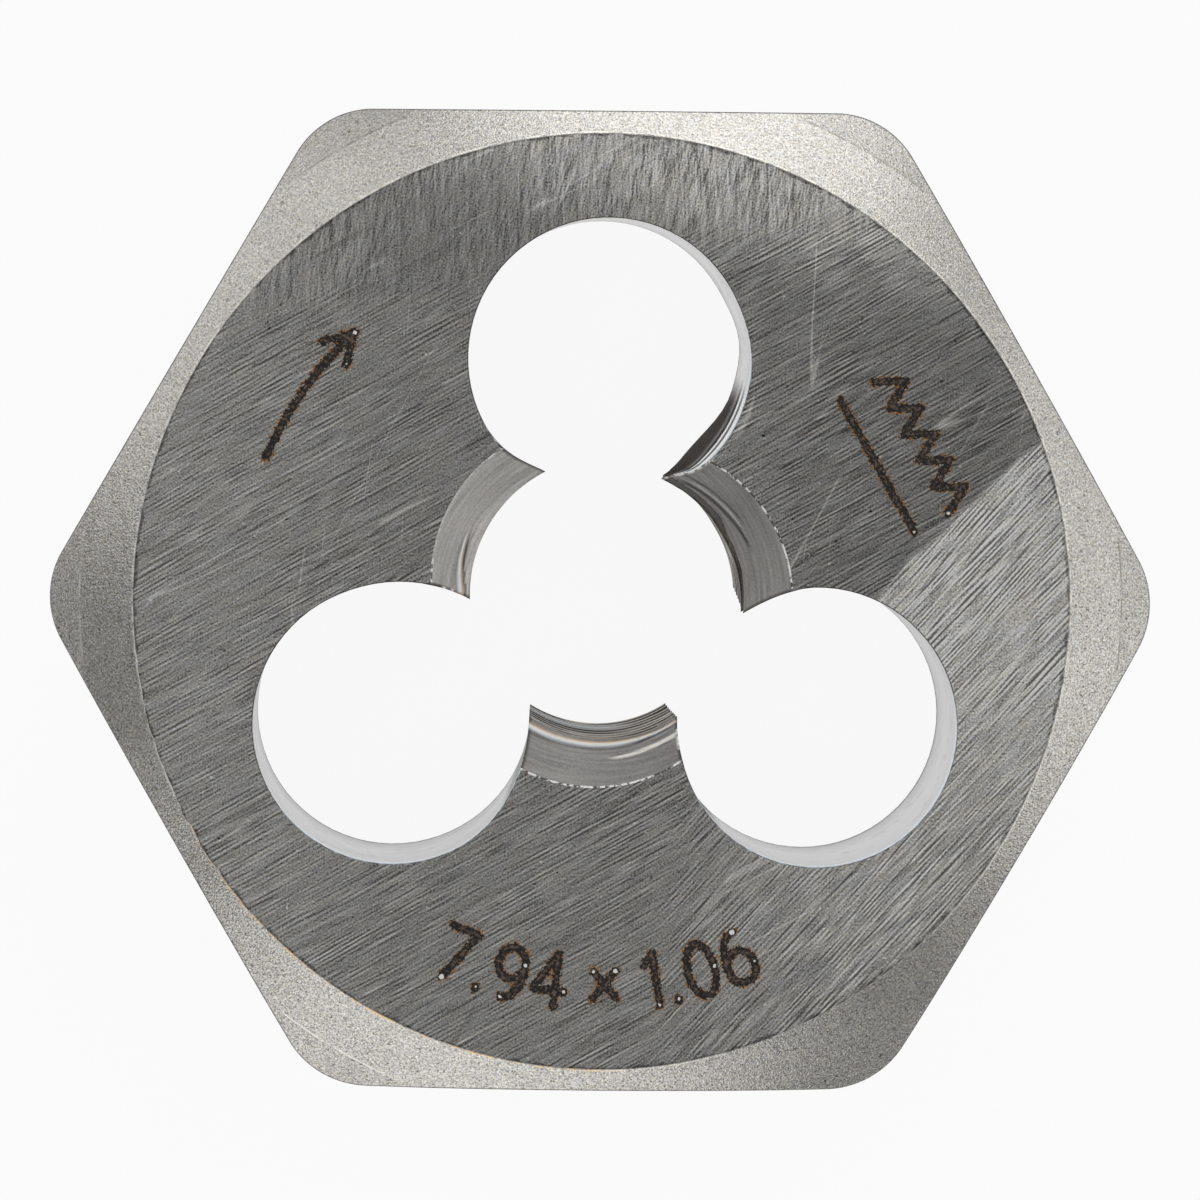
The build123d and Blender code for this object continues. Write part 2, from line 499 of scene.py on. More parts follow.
def half_profile(seed, ragged_at):
    """Rows from the face's edge to the side wall: points, depth below the face, and the row's
    label where it has one."""
    edge_margin, line_half_width, least_corner_cone = 0.02, 0.035, 0.22
    points, outward = outline()
    hex_radius = np.hypot(points[:, 0], points[:, 1])
    unit = points / hex_radius[:, None]
    angles = np.degrees(np.arctan2(points[:, 1], points[:, 0]))
    edge = FACE_RADIUS + np.array([ragged(a, seed, *ragged_at) for a in angles])
    cone_start = edge + FACE_EDGE_BREAK
    knee = np.minimum(TURNING_RADIUS, hex_radius - least_corner_cone)
    cone_end = hex_radius - SIDE_EDGE_BREAK / np.sum(unit * outward, 1)
    rows = []

    def add(r, label=None):
        rows.append((unit * r[:, None], cone_drop(r), label))

    for t in (0, 0.25, 0.5, 0.75, 1):
        r = curve3(edge - FACE_EDGE_BREAK, edge, cone_start, t)
        rows.append((unit * r[:, None], t ** 2 * cone_drop(cone_start), "face_edge" if t else None))
    for t in np.linspace(0, 1, 8)[:-1]:
        add(blend(cone_start + edge_margin, knee, t))
    add(knee - line_half_width)
    add(knee, "turn_line")
    add(knee + line_half_width)
    for t in (0.4, 0.7):
        add(blend(knee, cone_end, t))
    add(cone_end - edge_margin)
    add(cone_end)
    inner, inner_drop, _ = rows[-1]
    edge_drop = cone_drop(hex_radius)
    for t in (0.25, 0.5, 0.75, 1):
        p = curve3(inner, points, points, t)
        drop = curve3(inner_drop, edge_drop, edge_drop + SIDE_EDGE_BREAK, t)
        rows.append((p, drop, "outer_edge" if t < 1 else None))
    return rows


def outer_rows():
    """All rows of the outside, from the starting face down to the back face, and their labels."""
    top = half_profile(5.0, FACE_RAGGED)
    back = half_profile(17.0, BACK_RAGGED)[::-1]
    side_points, top_drop, _ = top[-1]
    back_drop = back[0][1]
    rows = [np.column_stack([p, THICKNESS - drop]) for p, drop, _ in top]
    for t in np.linspace(0, 1, SIDE_STEPS + 1)[1:-1]:
        rows.append(np.column_stack([side_points, blend(THICKNESS - top_drop, back_drop, t)]))
    rows += [np.column_stack([p, drop]) for p, drop, _ in back]
    labels = [row[2] for row in top] + [None] * (SIDE_STEPS - 1) + [row[2] for row in back]
    return np.array(rows), labels


# Etched marks: plain numerals, a turning arrow and a thread profile

def arc_points(cx, cy, rx, ry, start, stop, steps):
    """Points along part of an ellipse."""
    angles = [radians(blend(start, stop, i / steps)) for i in range(steps + 1)]
    return [(cx + rx * cos(a), cy + ry * sin(a)) for a in angles]


# Width of each character and its strokes, for a height of 1
GLYPHS = {
    "7": (0.60, [[(0, 1), (0.6, 1), (0.2, 0)]]),
    "9": (0.58, [arc_points(0.29, 0.68, 0.28, 0.31, 0, 360, 20),
                 [(0.57, 0.68)] + arc_points(0.2, 0.55, 0.37, 0.55, 0, -88, 8)]),
    "4": (0.62, [[(0.44, 0), (0.44, 1), (0, 0.3), (0.62, 0.3)]]),
    "1": (0.34, [[(0.02, 0.78), (0.24, 1), (0.24, 0)]]),
    "0": (0.56, [arc_points(0.28, 0.5, 0.28, 0.5, 0, 360, 24)]),
    "6": (0.58, [arc_points(0.29, 0.32, 0.28, 0.31, 0, 360, 20),
                 [(0.01, 0.32)] + arc_points(0.38, 0.45, 0.37, 0.55, 180, 92, 8)]),
    ".": (0.12, [[(0.05, 0.0), (0.06, 0.05)]]),
    "x": (0.50, [[(0.02, 0.2), (0.48, 0.72)], [(0.48, 0.2), (0.02, 0.72)]]),
    " ": (0.12, []),
}


def numerals(text, middle_deg, base_radius, height, gap=0.3):
    """Strokes of numerals set on an arc about the axis, with their tops towards it."""
    widths = [GLYPHS[c][0] * height for c in text]
    along = -(sum(widths) + gap * (len(text) - 1)) / 2
    strokes = []
    for c, width in zip(text, widths):
        for line in GLYPHS[c][1]:
            strokes.append([
                polar(base_radius - y * height,
                      middle_deg + degrees((along + x * height) / base_radius))
                for x, y in line])
        along += width + gap
    return strokes


def turning_arrow(radius, start, stop, head_length=0.75, head_half=0.42):
    """A curved arrow that runs clockwise and ends in a head."""
    arc = [polar(radius, blend(start, stop, i / 16)) for i in range(17)]
    back = stop + degrees(head_length / radius)
    head = [polar(radius + head_half, back), arc[-1], polar(radius - head_half, back)]
    return [arc, head]


def thread_profile(cx, cy, along_deg, length=3.9, teeth=5, depth=0.72, clear=0.25, line_at=-0.75):
    """A zigzag of teeth with a plain line under it."""
    ux, uy = polar(1, along_deg)

    def at(s, t):
        return cx + ux * s - uy * t, cy + uy * s + ux * t

    corners = 2 * teeth
    zigzag = [at(blend(-length / 2, length / 2, i / corners), clear + (depth if i % 2 else 0))
              for i in range(corners + 1)]
    return [zigzag, [at(-length / 2, line_at), at(length / 2, line_at)]]


def mark_strokes():
    """Segments of all strokes, and their ends as segments of no length."""
    size = f"{MAJOR_DIAMETER:.2f} x {PITCH:.2f}"
    strokes = numerals(size, middle_deg=-90.2, base_radius=10.55, height=1.36)
    strokes += turning_arrow(radius=9.45, start=157, stop=133)
    strokes += thread_profile(cx=7.75, cy=3.95, along_deg=-60)
    parts = [(a, b) for line in strokes for a, b in zip(line, line[1:])]
    ends = [(line[-1], line[-1]) for line in strokes]
    return np.array(parts), np.array(ends)


def distance_to(points, segments):
    """Distance from each point to the nearest of the segments."""
    best = np.full(len(points), np.inf)
    for a, b in segments:
        d = b - a
        t = np.clip(((points - a) @ d) / max(d @ d, 1e-12), 0, 1)
        best = np.minimum(best, np.hypot(*(points - a - t[:, None] * d).T))
    return best


def near_marks(segments, reach=0.34, spacing=0.06):
    """Points of a fine mesh under the marks."""
    found = []
    low = segments.reshape(-1, 2).min(0) - reach
    high = segments.reshape(-1, 2).max(0) + reach
    for j, y in enumerate(np.arange(low[1], high[1], spacing * 0.866)):
        xs = np.arange(low[0], high[0], spacing) + (spacing / 2 if j % 2 else 0)
        found.append(np.column_stack([xs, np.full(len(xs), y)]))
    points = np.vstack(found)
    return points[distance_to(points, segments) < reach]


# The whole mesh

def inside(points, loop):
    """Whether each point lies inside a closed loop."""
    result = np.zeros(len(points), bool)
    x, y = points[:, 0], points[:, 1]
    for (x0, y0), (x1, y1) in zip(loop, np.roll(loop, -1, axis=0)):
        if y0 == y1:
            continue
        crosses = (y0 > y) != (y1 > y)
        at = x0 + (y - y0) * (x1 - x0) / (y1 - y0)
        result ^= crosses & (x < at)
    return result


def fill(outer, inner, extra):
    """Triangles of the flat face between two loops, through some extra points."""
    points = np.vstack([outer, inner, extra])
    n, m = len(outer), len(inner)
    edges = [(i, (i + 1) % n) for i in range(n)] + [(n + i, n + (i + 1) % m) for i in range(m)]
    _, _, faces, source, _, _ = delaunay_2d_cdt([Vector(p) for p in points], edges, [], 0, 1e-7)
    index = [s[0] for s in source]
    tris = np.array([[index[v] for v in f] for f in faces if len(f) == 3])
    centres = points[tris].mean(1)
    return tris[~inside(centres, inner) & inside(centres, outer)]


def strips(row_count, column_count, first):
    """Faces between the rows of a grid that closes on itself: row, column and corners."""
    for row in range(row_count - 1):
        for column in range(column_count):
            here = first + row * column_count + column
            beside = first + row * column_count + (column + 1) % column_count
            yield row, column, (here, here + column_count, beside + column_count, beside)


def flat_face(verts, outer_ids, inner_ids, extra_ids, up):
    """Triangles of a flat face, all facing up or all facing down."""
    ids = np.concatenate([outer_ids, inner_ids, extra_ids])
    tris = ids[fill(verts[outer_ids, :2], verts[inner_ids, :2], verts[extra_ids, :2])]
    p = verts[tris, :2]
    a, b = p[:, 1] - p[:, 0], p[:, 2] - p[:, 0]
    faces_up = (a[:, 0] * b[:, 1] - a[:, 1] * b[:, 0]) > 0
    return [tuple(tri) if u == up else tuple(tri[::-1]) for tri, u in zip(tris, faces_up)]


def add_attribute(mesh, name, values):
    """Give every point of the mesh a number that the materials can read."""
    mesh.attributes.new(name, "FLOAT", "POINT").data.foreach_set("value", values)


def mark_sharp_edges(mesh):
    """Shade smooth, but for steep edges and for the borders of the two flat faces."""
    mesh.polygons.foreach_set("use_smooth", [True] * len(mesh.polygons))
    mesh.set_sharp_from_angle(angle=radians(34))
    sharp = mesh.attributes["sharp_edge"].data
    slots_at = {}
    for poly in mesh.polygons:
        for key in poly.edge_keys:
            slots_at.setdefault(key, set()).add(poly.material_index)
    for edge in mesh.edges:
        slots = slots_at[edge.key]
        if len(slots) == 2 and slots & {FACE, BACK}:
            sharp[edge.index].value = True


def die_mesh(name):
    """The die as one closed mesh, with what its materials read."""
    grid, column_slots, finish = bore_grid()
    outside, labels = outer_rows()
    segments, stroke_ends = mark_strokes()
    extra = near_marks(segments)
    rows, columns = grid.shape[:2]
    out_rows, out_columns = outside.shape[:2]
    first_outside = rows * columns
    first_extra = first_outside + out_rows * out_columns
    verts = np.vstack([grid.reshape(-1, 3), outside.reshape(-1, 3),
                       np.column_stack([extra, np.full(len(extra), THICKNESS)])])

    faces, slots = [], []
    for _, column, corners in strips(rows, columns, 0):
        faces.append(corners)
        slots.append(column_slots[column])
    middle = (out_rows - 1) / 2
    for row, _, corners in strips(out_rows, out_columns, first_outside):
        faces.append(corners)
        slots.append(SIDE if abs(row + 0.5 - middle) < SIDE_STEPS / 2 else CONE)

    # the loops that bound the two flat faces, and the points under the marks
    back_inner = np.arange(columns)
    top_inner = back_inner + first_outside - columns
    top_outer = first_outside + np.arange(out_columns)
    back_outer = top_outer + (out_rows - 1) * out_columns
    under_marks = first_extra + np.arange(len(extra))
    top_faces = flat_face(verts, top_outer, top_inner, under_marks, True)
    back_faces = flat_face(verts, back_outer, back_inner, under_marks[:0], False)
    faces += top_faces + back_faces
    slots += [FACE] * len(top_faces) + [BACK] * len(back_faces)

    mesh = bpy.data.meshes.new(name)
    mesh.from_pydata((verts * MM).tolist(), [], faces)
    mesh.polygons.foreach_set("material_index", slots)
    top_points = np.concatenate([top_outer, top_inner, under_marks])
    for attribute, lines in (("mark", segments), ("mark_end", stroke_ends)):
        far = np.ones(len(verts))
        far[top_points] = np.minimum(distance_to(verts[top_points, :2], lines), 1.0)
        add_attribute(mesh, attribute, far)
    for n, attribute in enumerate(BORE_FINISH):
        values = np.zeros(len(verts))
        values[:first_outside] = finish[:, :, n].reshape(-1)
        add_attribute(mesh, attribute, values)
    for attribute in ("outer_edge", "face_edge", "turn_line"):
        values = np.zeros(len(verts))
        shows = [label == attribute for label in labels]
        values[first_outside:first_extra] = np.repeat(shows, out_columns)
        if attribute == "turn_line":
            values *= np.hypot(verts[:, 0], verts[:, 1]) > TURNING_RADIUS - 0.01
        add_attribute(mesh, attribute, values)
    mesh.update()
    mesh.validate()
    mark_sharp_edges(mesh)
    return mesh


# Materials

class Field:
    """A number or colour that changes over a surface. Fields add and multiply like numbers."""

    def __init__(self, nodes, socket):
        self.nodes = nodes
        self.socket = socket

    def __add__(self, other):
        return self.nodes.math("ADD", self, other)

    def __sub__(self, other):
        return self.nodes.math("SUBTRACT", self, other)

    def __rsub__(self, other):
        return self.nodes.math("SUBTRACT", other, self)

    def __mul__(self, other):
        return self.nodes.math("MULTIPLY", self, other)

    __radd__ = __add__
    __rmul__ = __mul__

    def ramp(self, low, high, out_low=0.0, out_high=1.0):
        """A smooth step from out_low at low to out_high at high."""
        values = {"Value": self, "From Min": low, "From Max": high,
                  "To Min": out_low, "To Max": out_high}
        return self.nodes.add("MapRange", values, "Result", interpolation_type="SMOOTHSTEP")

    def swing(self, amount):
        """How far a noise is from its middle, times an amount."""
        return (self - 0.5) * amount


class Nodes:
    """A short way to write a material. Its place is in millimetres."""

    def __init__(self, name):
        self.material = bpy.data.materials.new(name)
        self.material.use_nodes = True
        self.tree = self.material.node_tree
        self.shader = self.tree.nodes["Principled BSDF"]
        coords = self.add("TexCoord", {}, "Object")
        self.place = self.vector("MULTIPLY", coords, (1 / MM, 1 / MM, 1 / MM))

    def put(self, socket, value):
        if isinstance(value, Field):
            self.tree.links.new(value.socket, socket)
        elif socket.type == "RGBA":
            socket.default_value = (*value, 1)
        else:
            socket.default_value = value

    def add(self, kind, values, output=0, **settings):
        """One output of a new node, whose sockets get the values."""
        node = self.tree.nodes.new("ShaderNode" + kind)
        for name, setting in settings.items():
            setattr(node, name, setting)
        for socket, value in values.items():
            self.put(node.inputs[socket], value)
        return Field(self, node.outputs[output])

    def math(self, operation, a, b=0.0):
        return self.add("Math", {0: a, 1: b}, operation=operation)

    def highest(self, a, b):
        return self.math("MAXIMUM", a, b)

    def vector(self, operation, a, b):
        return self.add("VectorMath", {0: a, 1: b}, operation=operation)

    def combine(self, x, y, z):
        return self.add("CombineXYZ", {0: x, 1: y, 2: z})

    def parts(self, vector):
        node = self.tree.nodes.new("ShaderNodeSeparateXYZ")
        self.put(node.inputs[0], vector)
        return [Field(self, output) for output in node.outputs]

    def mapped(self, angle_deg, scale, shift=(0, 0, 0)):
        """The place turned so that X lies along an angle, then scaled and shifted."""
        values = {"Vector": self.place, "Rotation": (0, 0, radians(angle_deg))}
        turned = self.add("Mapping", values, vector_type="TEXTURE")
        return self.vector("ADD", self.vector("MULTIPLY", turned, scale), shift)

    def noise(self, scale, detail=2.0, roughness=0.5, shift=None, at=None):
        """Soft noise between 0 and 1, at the place, at the place shifted, or somewhere else."""
        if shift:
            at = self.vector("ADD", self.place, shift)
        place = at or self.place
        values = {"Vector": place, "Scale": scale, "Detail": detail, "Roughness": roughness}
        return self.add("TexNoise", values, "Fac")

    def streaks(self, angle, along, across, shift=(0, 0, 0), detail=0.0):
        """Fine lines along an angle."""
        return self.noise(1.0, detail, at=self.mapped(angle, (along, across, 1), shift))

    def ruled(self, angle, spacing, shift):
        """Nearly regular fine lines along an angle, each of them fading in and out."""
        _, across, _ = self.parts(self.mapped(angle, (1, 1, 1)))
        drift = self.streaks(angle, 0.2, 1.4, shift, 1.0).swing(18.0)
        strength = self.streaks(angle, 1.2, 7.0, shift, 1.0).ramp(0.36, 0.68, 0.0, 0.5)
        return 0.5 + self.math("SINE", across * (2 * pi / spacing) + drift) * strength

    def scratches(self, angle, along, across, shift, level, width):
        """A few separate longer lines along an angle."""
        off = self.math("ABSOLUTE", self.streaks(angle, along, across, shift) - 0.5)
        patch = self.streaks(angle, 0.35, 0.9, (shift[1], shift[0], 3), 1.0)
        return off.ramp(width, 0.0) * patch.ramp(level, level + 0.06)

    def mix(self, factor, a, b):
        """a where the factor is 0, b where it is 1."""
        return self.add("Mix", {0: factor, 2: a, 3: b})

    def tint(self, factor, a, b):
        """The same for colours."""
        return self.add("Mix", {0: factor, 6: a, 7: b}, 2, data_type="RGBA")

    def grey(self, value, colour):
        """A colour times a changing brightness."""
        return self.vector("MULTIPLY", colour, self.combine(value, value, value))

    def attribute(self, name):
        return self.add("Attribute", {}, "Fac", attribute_name=name)

    def bump(self, height, distance, strength, under=None):
        """A normal that follows a height of the given distance in millimetres."""
        values = {"Height": height, "Distance": distance * MM, "Strength": strength}
        if under:
            values["Normal"] = under
        return self.add("Bump", values)

    def surface(self, colour, roughness, normal, metallic=1.0):
        """Give the shader what has been worked out, and return the finished material."""
        for name, value in (("Base Color", colour), ("Roughness", roughness),
                            ("Metallic", metallic), ("Normal", normal)):
            self.put(self.shader.inputs[name], value)
        return self.material


def burnt_marks(m, colour, rough, normal):
    """Burnt strokes over a surface: dark inside, stained beside, with a light bead at each end."""
    edge = m.noise(12.0, roughness=0.6)
    far = m.attribute("mark") + edge.swing(0.20) + m.noise(24.0, 0.0, shift=(5, 5, 1)).swing(0.11)
    burnt = far.ramp(0.122, 0.092)
    brown_cover = far.ramp(0.168, 0.118) * m.noise(6.0, shift=(6, 1, 4)).ramp(0.42, 0.60, 0.12, 1.0)
    flecks = m.noise(11.0).ramp(0.40, 0.66) * far.ramp(0.065, 0.02)
    end = m.attribute("mark_end") + edge.swing(0.08) + m.noise(1.3, shift=(2, 9, 5)).swing(0.13)
    bead = end.ramp(0.056, 0.042)

    stain = m.tint(m.noise(9.0), (0.10, 0.035, 0.01), (0.70, 0.36, 0.12))
    dark = m.tint(flecks, (0.008, 0.007, 0.007), (0.15, 0.10, 0.07))
    for factor, cover in ((brown_cover, stain), (burnt, dark), (bead, (0.98, 0.98, 0.96))):
        colour = m.tint(factor, colour, cover)
    metallic = m.mix(burnt * (1.0 - bead), 1.0, 0.25)
    normal = m.bump(burnt * edge.ramp(0.2, 0.8, 0.6, 1.0), 0.03, -0.6, normal)
    return colour, m.mix(burnt, rough, 0.55), normal, metallic


def ground_face(name, marked):
    """Surface-ground steel: lines at about 30 degrees, other lines in two patches."""
    m = Nodes(name)
    x, y, _ = m.parts(m.place)
    wander = m.noise(0.5, 3.0).swing(1.0)

    # the band of upright lines across the top, above the top hole and to its left
    in_top = (y - 0.18 * x + 2.4 * wander).ramp(8.0, 9.8)
    # the lighter patch on the right starts at a diagonal line and fades out towards lower left
    past_line = (0.700 * x - 0.714 * y + 0.5 * wander).ramp(4.75, 4.95)
    in_right = past_line * (x + 0.25 * y + 2.0 * wander).ramp(0.3, 5.5)
    turned = past_line * (x - 0.1 * y + 1.5 * wander).ramp(1.9, 3.3)
    in_corner = x.ramp(1.0, 4.0) * y.ramp(-4.5, -8.0)

    main = m.mix(0.5, m.streaks(29, 1.5, 25.0), m.ruled(29.5, 0.108, (5, 2, 1)))
    top = m.mix(0.45, m.streaks(76, 2.4, 27.0, (3, 1, 2)), m.streaks(92, 1.1, 23.0, (8, 4, 2)))
    right = m.mix(0.5, m.streaks(47, 1.3, 24.0, (1, 7, 2)), m.ruled(47.5, 0.112, (6, 1, 5)))
    lines = m.mix(turned, m.mix(in_top, main, top), right)

    # how light the steel is, from place to place and then from line to line. From place to place
    # the level carries painted light and shade: lighter far to the left, towards the bottom and in
    # the lower right corner, darker towards the right, with a painted sheen over the top band and a
    # level of its own in the right patch
    level = x.ramp(-11.0, -4.0, 0.385, 0.305) - x.ramp(1.0, 8.5, 0.0, 0.055)
    level += 0.33 * (y + 0.25 * x).ramp(9.0, 12.2)
    level += 0.062 * in_corner + y.ramp(-4.0, -7.0, 0.0, 0.02)
    level = m.mix(in_right, level, y.ramp(-7.0, -1.0, 0.49, 0.66))
    contrast = m.streaks(30, 0.5, 1.1, detail=2.0).ramp(0.3, 0.7, 1.5, 3.3)
    contrast = contrast * x.ramp(-4.0, 8.0, 0.9, 1.25) + 0.2 * in_corner
    change = lines.swing(1.0) * contrast + m.noise(21.0, 0.0).swing(1.6)
    change += m.streaks(30, 0.2, 1.6, detail=2.0).swing(0.06)
    level *= m.highest(1.0 + change, 0.3)

    # single scratches, specks and pits, and a dark rim of painted shade along the face's edge
    dark_lines = m.highest(m.scratches(29, 0.07, 3.1, (4, 7, 3), 0.5, 0.024),
                           m.scratches(48, 0.06, 2.3, (7, 1, 9), 0.58, 0.020))
    steep_lines = m.highest(m.scratches(63, 0.05, 1.3, (9, 3, 4), 0.57, 0.010),
                            m.scratches(84, 0.05, 1.5, (1, 8, 2), 0.58, 0.010))
    long_lines = m.highest(m.scratches(28, 0.05, 1.9, (2, 5, 1), 0.53, 0.012),
                           steep_lines * y.ramp(-3.0, 1.0))
    specks = m.noise(9.0, 1.0).ramp(0.735, 0.78)
    pits = m.noise(7.0, 1.0, shift=(31, 7, 0)).ramp(0.745, 0.79)
    level = level * (1.0 - 0.24 * dark_lines) + 0.25 * long_lines + 0.3 * specks - 0.2 * pits
    from_axis = m.math("SQRT", x * x + y * y)
    rim = from_axis + m.noise(2.6).swing(0.34)
    level *= 1.0 - 0.6 * rim.ramp(FACE_RADIUS - 0.10, FACE_RADIUS - 0.02)

    hue = m.streaks(30, 1.3, 9.0, (4, 4, 4), 2.0).ramp(0.35, 0.65)
    steel = m.tint(hue, (0.985, 0.985, 0.962), (1.02, 0.985, 0.905))
    colour = m.grey(m.highest(level, 0.03), steel)
    rough = 0.34 + lines.swing(0.25)
    normal = m.bump(lines - 0.5 * long_lines, 0.01, 0.35)
    if marked:
        return m.surface(*burnt_marks(m, colour, rough, normal))
    return m.surface(colour, rough, normal)


def edge_lines(m, x, y, to_corner, colour):
    """A painted highlight along the ground face's edge, and painted highlight and shade along the
    line where the two cones meet.
    """
    # the painted highlight along the face's edge, in patches and over a stretch on the right,
    # warmer and orange in the lower left
    edge_highlight = m.highest(m.noise(3.2, 3.0, 0.6).ramp(0.42, 0.60, 0.08, 0.9),
                     x.ramp(8.4, 9.6) * y.ramp(-3.0, -4.5))
    edge_highlight *= to_corner.ramp(11.95, 11.6)
    tinted = x.ramp(1.5, -1.0) * y.ramp(-5.0, -7.0)
    highlight_colour = m.tint(tinted, (0.95, 0.92, 0.85), (1.0, 0.70, 0.36))
    colour = m.tint(m.attribute("face_edge") * edge_highlight, colour, highlight_colour)
    # along the line where the two cones meet: a painted highlight, and painted shade on the upper
    # and right sides
    crease_shading = m.noise(2.2).ramp(0.4, 0.6, 0.35, 1.0) * to_corner.ramp(13.2, 12.8)
    dark_side = m.highest(y.ramp(3.0, 5.0), x.ramp(8.0, 10.0))
    crease_light_and_shade = m.tint(dark_side, (0.95, 0.93, 0.88), (0.30, 0.28, 0.25))
    return m.tint(m.attribute("turn_line") * crease_shading, colour, crease_light_and_shade)


def blasted(name, level):
    """Bead-blasted steel: a fine even grain with small dark pits and painted glints, and painted
    shade along the outer edge.
    """
    m = Nodes(name)
    x, y, _ = m.parts(m.place)
    fine = m.noise(17.0, 1.0)
    tiny = m.noise(24.0, 0.0, shift=(7, 3, 8))
    cloud = m.noise(0.35, 3.0, 0.55)
    pits = m.noise(8.5, 1.5, shift=(11, 5, 2)).ramp(0.62, 0.72)
    glints = m.noise(10.0, 1.0, shift=(4, 23, 9)).ramp(0.64, 0.74)
    change = fine.swing(1.0) + tiny.swing(1.0) + cloud.swing(0.22) - 0.28 * pits + 0.15 * glints
    change *= y.ramp(-2.0, 8.0, 1.35, 1.05)
    # painted shade along the outer edge
    value = level * m.highest(1.0 + change, 0.25) * m.mix(m.attribute("outer_edge"), 1.0, 0.33)

    # painted light on a stretch of the lower left flat, and painted shade on the lower right corner
    # past the turning line and on the right corner
    lit_stretch = y.ramp(-3.3, -4.3) * y.ramp(-6.9, -5.6) * x.ramp(-8.5, -9.5)
    to_corner = 0.5 * x - 0.866 * y
    painted_level = x.ramp(11.0, 12.5) * y.ramp(-1.5, 0.5)
    value *= 1.0 + 0.24 * lit_stretch
    value *= to_corner.ramp(13.25, 13.75, 1.0, 0.8) * (1.0 - 0.09 * painted_level)

    hue = m.noise(9.0, shift=(9, 2, 4)).ramp(0.35, 0.65)
    colour = m.grey(value, m.tint(hue, (0.985, 0.975, 0.945), (1.02, 0.975, 0.88)))
    colour = edge_lines(m, x, y, to_corner, colour)
    return m.surface(colour, 0.35, m.bump(fine + 0.5 * tiny, 0.02, 0.4))


def bored(name):
    """The clearance holes' walls: smooth with faint stains, dark brown on the cutting faces, with
    painted shade deeper down and painted highlights along the top and on the burrs.
    """
    m = Nodes(name)
    _, y, z = m.parts(m.place)
    rings = m.noise(1.0, 3.0, 0.6, at=m.vector("MULTIPLY", m.place, (0.3, 0.3, 9.0)))
    spots = m.noise(1.0, 1.0, at=m.vector("MULTIPLY", m.place, (2.6, 2.6, 0.7)))
    stains = m.noise(1.4, 3.0).ramp(0.50, 0.72)
    grain = m.noise(12.0)
    value = 0.74 + rings.swing(0.18) - 0.12 * stains - 0.1 * spots.ramp(0.66, 0.72)
    # a little darker towards lower y; painted shade deeper down the holes and a dark line of
    # painted shade along the bottom edge
    value *= y.ramp(0.5, 3.5, 0.88, 1.0)
    value *= z.ramp(0.0, 4.5, 0.72, 1.0) * z.ramp(0.05, 0.35, 0.3, 1.0)

    # what covers the bare wall, one over the other: a dark grey stretch, the dark brown cutting
    # face with its painted shade, a bluish painted highlight along the top, painted highlights on
    # the burrs and painted black lines of shade
    dull_grey = m.grey(0.16 + grain.swing(0.1), (1.0, 0.97, 0.93))
    brown = m.grey(1.0 + rings.swing(1.6) + grain.swing(1.0), (0.100, 0.082, 0.066))
    rim = m.attribute("rim") * m.noise(5.0).ramp(0.38, 0.6, 0.1, 1.0)
    colour = m.grey(value, (0.985, 0.98, 0.985))
    layers = (
        (m.attribute("painted_level"), dull_grey),
        (m.attribute("rake"), brown),
        (rim, (0.80, 0.91, 1.0)),
        (m.attribute("bright"), (0.97, 0.985, 1.0)),
        (m.attribute("groove"), (0.02, 0.018, 0.016)),
    )
    for factor, cover in layers:
        colour = m.tint(factor, colour, cover)

    # little shine under the dark brown and its painted shade
    brown_cover = 0.95 * m.attribute("rake") * (1.0 - m.attribute("bright"))
    m.put(m.shader.inputs["Specular IOR Level"], m.mix(brown_cover, 0.5, 0.03))
    normal = m.bump(rings, 0.008, 0.35)
    return m.surface(colour, m.mix(brown_cover, 0.36, 0.8), normal, 1.0 - brown_cover)


